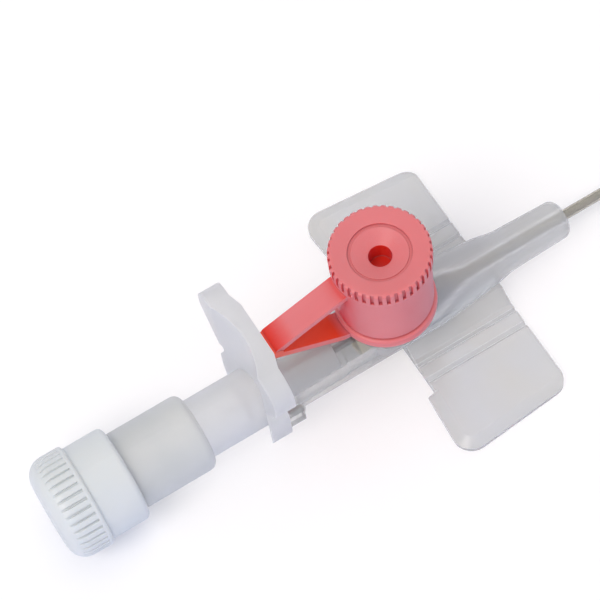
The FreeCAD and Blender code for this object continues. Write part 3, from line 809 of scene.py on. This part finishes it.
@dataclass
class View:
    """The photograph's camera: its bearing, its distance and the point it looks past.

    The camera looks back along the direction given by azimuth and elevation and is turned about
    that line by roll.

    Attributes:
        azimuth: Degrees that the bearing is turned from -Y towards +X.
        elevation: Degrees above the wings' plane.
        roll: Degrees that the camera is turned about its line of sight.
        distance: From the origin below, along the bearing.
        along: Shift of the camera to its own right.
        above: Shift of the camera to its own top.
        focal_px: Focal length in pixels of the picture.
        picture_px: Width and height of the picture.
        origin: Where the port's axis meets the barrel's.
        sensor: Width of the sensor.
        clip: Nearest and furthest distance that is drawn, in metres.
    """

    azimuth: float = -21.474
    elevation: float = 63.023
    roll: float = -10.772
    distance: float = 247.984
    along: float = -8.787
    above: float = 1.821
    focal_px: float = 2474.3
    picture_px: int = 600
    origin: tuple[float, float, float] = (-6.05, 0.0, 3.5)
    sensor: float = 36.0
    clip: tuple[float, float] = (0.005, 10.0)

    def axes(self) -> tuple[np.ndarray, np.ndarray, np.ndarray]:
        """Works out the camera's right, up and backward directions."""
        az, el, roll = (math.radians(a) for a in (self.azimuth, self.elevation, self.roll))
        back = np.array(
            [math.sin(az) * math.cos(el), -math.cos(az) * math.cos(el), math.sin(el)]
        )
        right = np.array([math.cos(az), math.sin(az), 0.0])
        up = np.cross(back, right)
        turned_right = math.cos(roll) * right + math.sin(roll) * up
        turned_up = -math.sin(roll) * right + math.cos(roll) * up
        return turned_right, turned_up, back

    def build(self) -> bpy.types.Object:
        """Adds the camera, makes it the scene's own and returns it."""
        right, up, back = self.axes()
        place = np.array(self.origin) + self.along * right + self.above * up + self.distance * back
        data = bpy.data.cameras.new("camera")
        data.sensor_width = self.sensor
        data.lens = self.focal_px / self.picture_px * self.sensor
        data.clip_start, data.clip_end = self.clip
        camera = bpy.data.objects.new("camera", data)
        matrix = np.eye(4)
        matrix[:3, 0], matrix[:3, 1], matrix[:3, 2] = right, up, back
        matrix[:3, 3] = place * MM
        camera.matrix_world = Matrix(matrix.tolist())
        bpy.context.scene.collection.objects.link(camera)
        bpy.context.scene.camera = camera
        return camera


@dataclass(frozen=True)
class Lamp:
    """A distant soft lamp.

    Attributes:
        name: The lamp's name.
        strength: Light that falls on a face turned to it.
        colour: Its sRGB colour.
        azimuth: Degrees from +X to +Y that it shines from.
        elevation: Degrees above the wings' plane that it shines from.
        spread: Its width in degrees, which softens the shadows.
    """

    name: str
    strength: float
    colour: str
    azimuth: float
    elevation: float
    spread: float

    def build(self) -> None:
        """Adds the lamp to the scene."""
        data = bpy.data.lights.new(self.name, "SUN")
        data.energy = self.strength
        data.color = linear(self.colour)[:3]
        data.angle = math.radians(self.spread)
        lamp = bpy.data.objects.new(self.name, data)
        tilt = math.radians(90.0 - self.elevation)
        lamp.rotation_euler = (0.0, tilt, math.radians(self.azimuth))
        bpy.context.scene.collection.objects.link(lamp)


@dataclass
class Studio:
    """A pale floor under even white light, with a soft key lamp, a fill and a low cool front lamp.

    The floor leans by the small angle at which the part lies on the bottom of its grip and the
    front edge of its wings.

    Attributes:
        nodes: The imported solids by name.
        level: Strength of the sky as the part feels it; seen directly it is 1, which is white.
        sky_colour: The sky's sRGB colour.
        lamps: The lamps.
        paper: The floor's sRGB colour.
        bounced: The cooler sRGB colour of what it throws on to the part's sides.
        paper_roughness: How matt it is.
        paper_gloss: Strength of its gloss.
        glow: White light of its own, for the eye only, which keeps its far parts white.
        floor_half: Half of the floor's side.
        balance_x: Where along X the part's weight lies, between the two lines that it rests on.
        steepest: Largest slope tried for the floor.
        slopes: How many slopes are tried.
        gap: Air between the part and the floor, so that they don't flicker where they touch.
    """

    nodes: dict[str, bpy.types.Object]
    level: float = 0.62
    sky_colour: str = "#F7F8FC"
    lamps: tuple[Lamp, ...] = (
        Lamp("key", 1.35, "#FFF6EC", azimuth=-157.0, elevation=52.0, spread=35.0),
        Lamp("fill", 0.35, "#FFF6EC", azimuth=20.0, elevation=60.0, spread=60.0),
        Lamp("front", 0.28, "#BECCFF", azimuth=-111.0, elevation=15.0, spread=40.0),
    )
    paper: str = "#F4F5F8"
    bounced: str = "#DCE3FC"
    paper_roughness: float = 0.9
    paper_gloss: float = 0.1
    glow: float = 0.12
    floor_half: float = 1500.0
    balance_x: float = -10.0
    steepest: float = 0.15
    slopes: int = 601
    gap: float = 0.02

    def world(self) -> None:
        """Lights the scene evenly; seen directly, by gloss or through plastic it is white."""
        world = bpy.data.worlds.new("studio")
        world.use_nodes = True
        tree = world.node_tree
        tree.nodes.clear()
        rays = add_node(tree, "ShaderNodeLightPath").outputs
        seen = rays["Is Camera Ray"]
        for kind in ("Is Glossy Ray", "Is Transmission Ray"):
            seen = add_node(
                tree, "ShaderNodeMath", {0: seen, 1: rays[kind]}, operation="MAXIMUM"
            ).outputs[0]
        strength = add_node(
            tree, "ShaderNodeMapRange", {"Value": seen, "To Min": self.level, "To Max": 1.0}
        ).outputs["Result"]
        sky = add_node(
            tree, "ShaderNodeBackground", {"Color": linear(self.sky_colour), "Strength": strength}
        )
        add_node(tree, "ShaderNodeOutputWorld", {"Surface": sky.outputs["Background"]})
        bpy.context.scene.world = world

    def rest(self) -> tuple[float, float]:
        """Finds the plane that the part lies on.

        Of all planes z = height + slope * x under every point of the solids, it is the one that
        is highest below the part's weight.

        Returns:
            Its height at x = 0, in millimetres, and its slope.
        """
        slopes = np.linspace(-self.steepest, self.steepest, self.slopes)
        heights = np.full(slopes.shape, np.inf)
        for node in self.nodes.values():
            points = np.empty(len(node.data.vertices) * 3)
            node.data.vertices.foreach_get("co", points)
            x, _, z = points.reshape(-1, 3).T / MM
            low = (z[:, None] - slopes * x[:, None]).min(axis=0)
            heights = np.minimum(heights, low)
        best = int(np.argmax(heights + slopes * self.balance_x))
        return float(heights[best]), float(slopes[best])

    def backdrop(self) -> bpy.types.Material:
        """Makes the matt paper of the floor.

        Returns:
            A material that looks paler to the eye than to light that bounces off it.
        """
        material, tree = empty_material("backdrop_paper_matt")
        rays = add_node(tree, "ShaderNodeLightPath").outputs
        shade = add_node(
            tree,
            "ShaderNodeMix",
            {
                SHARE: rays["Is Diffuse Ray"],
                FIRST: linear(self.paper),
                SECOND: linear(self.bounced),
            },
            data_type="RGBA",
        ).outputs[MIXED]
        glow = add_node(
            tree, "ShaderNodeMath", {0: rays["Is Camera Ray"], 1: self.glow}, operation="MULTIPLY"
        ).outputs[0]
        paper = add_node(
            tree,
            "ShaderNodeBsdfPrincipled",
            {
                "Base Color": shade,
                "Roughness": self.paper_roughness,
                "Specular IOR Level": self.paper_gloss,
                "Emission Color": linear("#FFFFFF"),
                "Emission Strength": glow,
            },
        )
        add_node(tree, "ShaderNodeOutputMaterial", {"Surface": paper.outputs["BSDF"]})
        return material

    def floor(self) -> bpy.types.Object:
        """Lays the floor on which the part rests.

        Returns:
            One square face, whose corners lie on the plane of rest.
        """
        height, slope = self.rest()
        x = self.floor_half * np.array([-1.0, 1.0, 1.0, -1.0])
        y = self.floor_half * np.array([-1.0, -1.0, 1.0, 1.0])
        corners = np.stack([x, y, height + slope * x - self.gap], -1) * MM
        mesh = bpy.data.meshes.new("floor")
        mesh.from_pydata(corners.tolist(), [], [(0, 1, 2, 3)])
        floor = bpy.data.objects.new("floor", mesh)
        bpy.context.scene.collection.objects.link(floor)
        dress(floor, self.backdrop())
        return floor

    def build(self) -> None:
        """Sets up world, lamps and floor, and the plain colour transform."""
        self.world()
        for lamp in self.lamps:
            lamp.build()
        self.floor()
        bpy.context.scene.view_settings.view_transform = "Standard"


def main() -> None:
    """Builds the dressed part, the studio and the view."""
    logging.basicConfig(level=logging.INFO, format="%(message)s")
    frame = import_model()
    nodes = frame["nodes"]
    for unit in (CatheterUnit(nodes), PortClosure(nodes), NeedleUnit(nodes), VentPlug(nodes)):
        unit.build()
    Studio(nodes).build()
    View().build()


if __name__ == "__main__":
    main()
